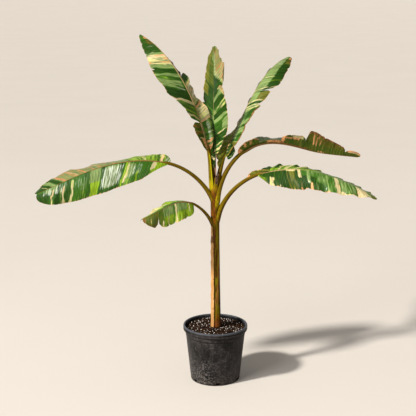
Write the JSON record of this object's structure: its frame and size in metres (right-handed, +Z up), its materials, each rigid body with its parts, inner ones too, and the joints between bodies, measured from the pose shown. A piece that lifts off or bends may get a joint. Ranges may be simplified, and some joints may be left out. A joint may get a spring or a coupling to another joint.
{
  "type": "potted banana plant",
  "caption": "Variegated banana plant in a round black nursery pot: slim leaning stem, arching stalks and broad, torn leaves banded green and cream.",
  "frame": {"origin": "middle of the pot's flat underside", "axes": "+Z up; -Y is the plant's front; +X is to the right, seen from the front"},
  "size_m": [1.3769, 0.475, 1.4818],
  "materials": {
    "pot": "matte charcoal plastic, scuffed and dusty",
    "mix": "dark bark and peat with pale grains",
    "stem": "smooth sheath, olive to red-brown, streaked",
    "dry_sheath": "dry, papery and tan",
    "stalk": "smooth, olive yellow",
    "leaf": "semi-gloss green with cream and pink-brown bands"
  },
  "bodies": {
    "root": {"nursery_pot": "pot", "potting_mix": "mix", "stem": "stem", "dry_sheath": "dry_sheath", "withered_scrap": "dry_sheath", "stalk_upper_left": "stalk", "stalk_centre": "stalk", "stalk_upper_right": "stalk", "stalk_arching_right": "stalk", "stalk_lower_right": "stalk", "stalk_broad_left": "stalk", "stalk_old_lower_left": "stalk", "blade_upper_left": "leaf", "blade_centre": "leaf", "blade_upper_right": "leaf", "blade_arching_right": "leaf", "blade_lower_right": "leaf", "blade_broad_left": "leaf", "blade_old_lower_left": "leaf"}
  },
  "joints": []
}
